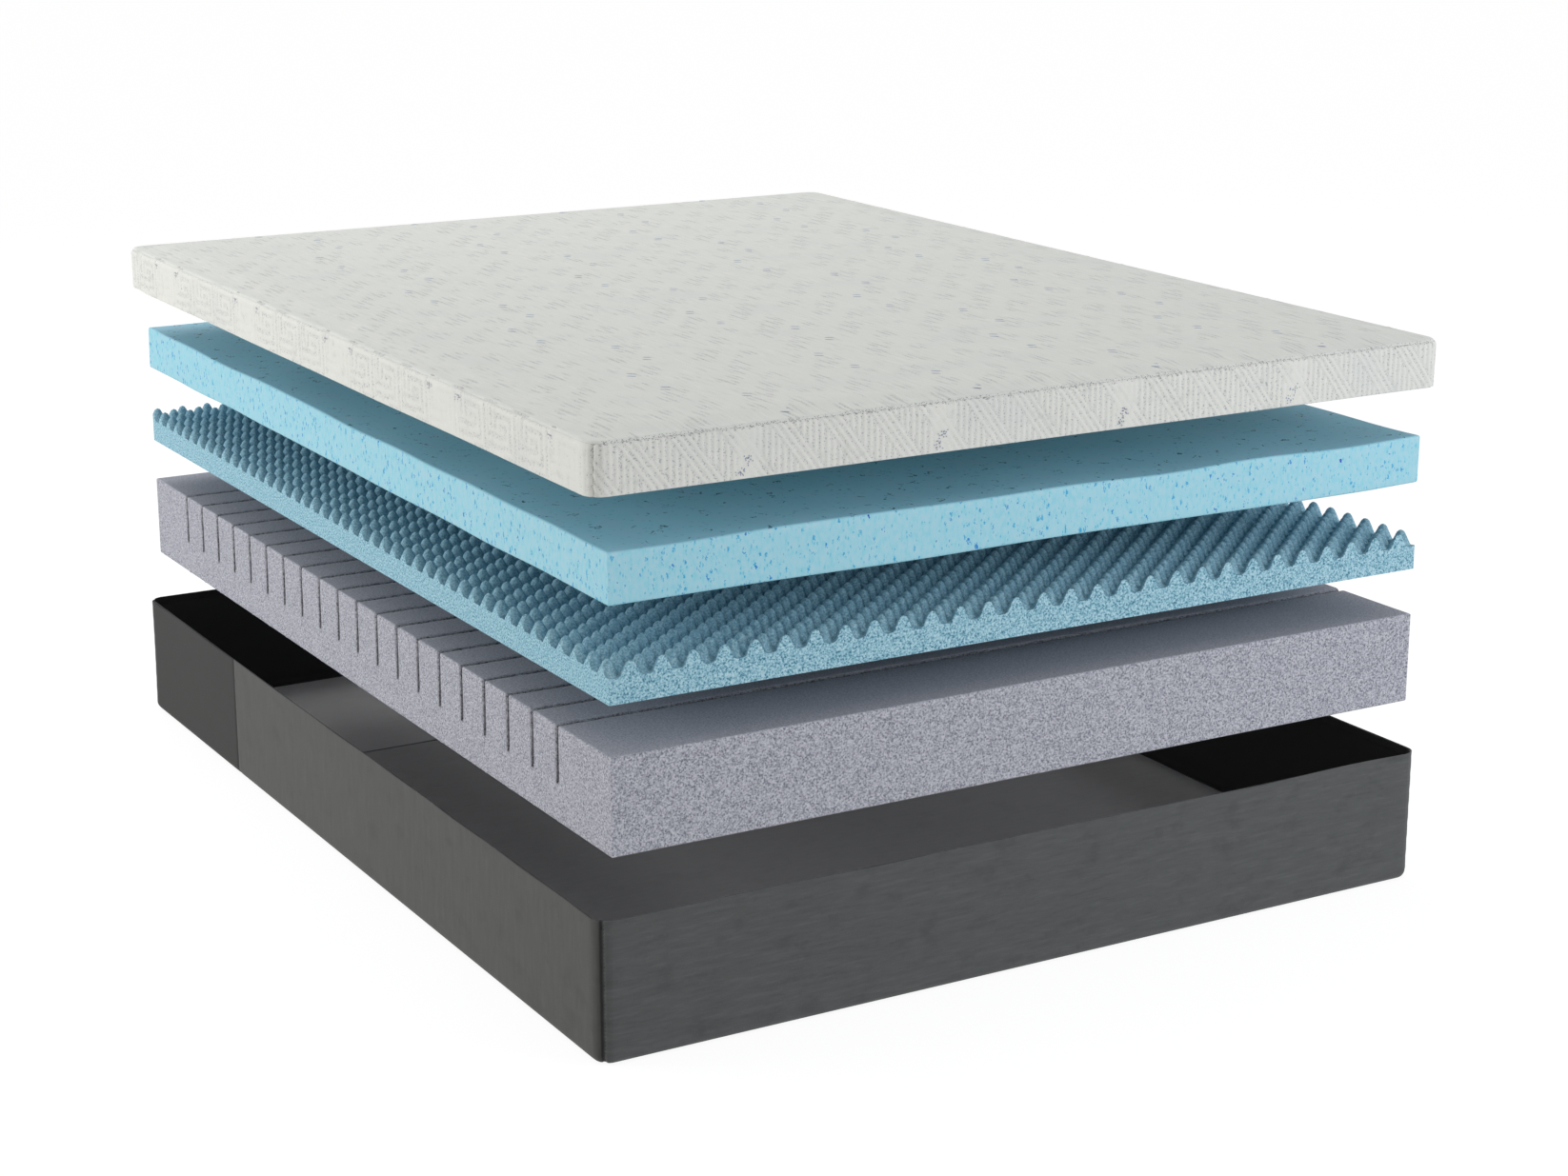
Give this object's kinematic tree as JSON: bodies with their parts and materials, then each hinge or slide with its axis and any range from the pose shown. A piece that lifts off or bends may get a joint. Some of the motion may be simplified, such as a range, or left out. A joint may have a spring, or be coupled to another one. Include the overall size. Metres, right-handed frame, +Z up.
{
  "type": "memory foam mattress",
  "caption": "Queen memory foam mattress laid open: fabric base tray, slit support foam, convoluted foam, gel memory foam and a knitted cap cover, which lower onto each other and zip shut.",
  "frame": {"origin": "centre of the bed on the surface that the base tray rests on", "axes": "+Y from the foot to the head, +X across the bed, +Z up"},
  "size_m": [1.584, 2.0625, 0.9545],
  "materials": {
    "knit": "matte",
    "gel_foam": "matte",
    "convoluted_foam": "matte",
    "support_foam": "matte",
    "base_fabric": "matte",
    "base_fabric_dark": "matte",
    "zip_tape": "matte",
    "label_fabric": "matte",
    "zip_metal": "satin"
  },
  "bodies": {
    "bottom_cover": {"bottom_panel_main": "base_fabric", "bottom_panel_head": "base_fabric", "border_foot": "base_fabric", "border_right_main": "base_fabric", "border_right_head": "base_fabric_dark", "border_head": "base_fabric_dark", "border_left_head": "base_fabric_dark", "border_left_main": "base_fabric", "zip_tape_lower": "zip_tape", "care_label": "label_fabric"},
    "support_foam": {"support_foam": "support_foam"},
    "convoluted_foam": {"convoluted_foam": "convoluted_foam"},
    "gel_memory_foam": {"gel_memory_foam": "gel_foam"},
    "top_cover": {"top_panel": "knit", "top_band_foot": "knit", "top_band_right": "knit", "top_band_head": "knit", "top_band_left": "knit", "zip_tape_upper": "zip_tape"},
    "zip_slider": {"zip_slider": "zip_metal"},
    "zip_pull": {"zip_pull": "zip_metal"}
  },
  "joints": [
    {"name": "support_foam_drop", "type": "slide", "parent": "bottom_cover", "child": "support_foam", "axis": [0, 0, 1], "range_m": [-0.3215, 0]},
    {"name": "convoluted_foam_drop", "type": "slide", "parent": "support_foam", "child": "convoluted_foam", "axis": [0, 0, 1], "range_m": [-0.0785, 0]},
    {"name": "gel_foam_drop", "type": "slide", "parent": "convoluted_foam", "child": "gel_memory_foam", "axis": [0, 0, 1], "range_m": [-0.0825, 0]},
    {"name": "top_cover_drop", "type": "slide", "parent": "gel_memory_foam", "child": "top_cover", "axis": [0, 0, 1], "range_m": [-0.158, 0]},
    {"name": "zip_slider_travel", "type": "slide", "parent": "bottom_cover", "child": "zip_slider", "axis": [1, 0, 0], "range_m": [-1.48, 0]},
    {"name": "zip_pull_swing", "type": "hinge", "parent": "zip_slider", "child": "zip_pull", "pos_m": [0.74, 1.032, 0.2324], "axis": [0, 0, 1], "range_deg": [0, 180]}
  ]
}
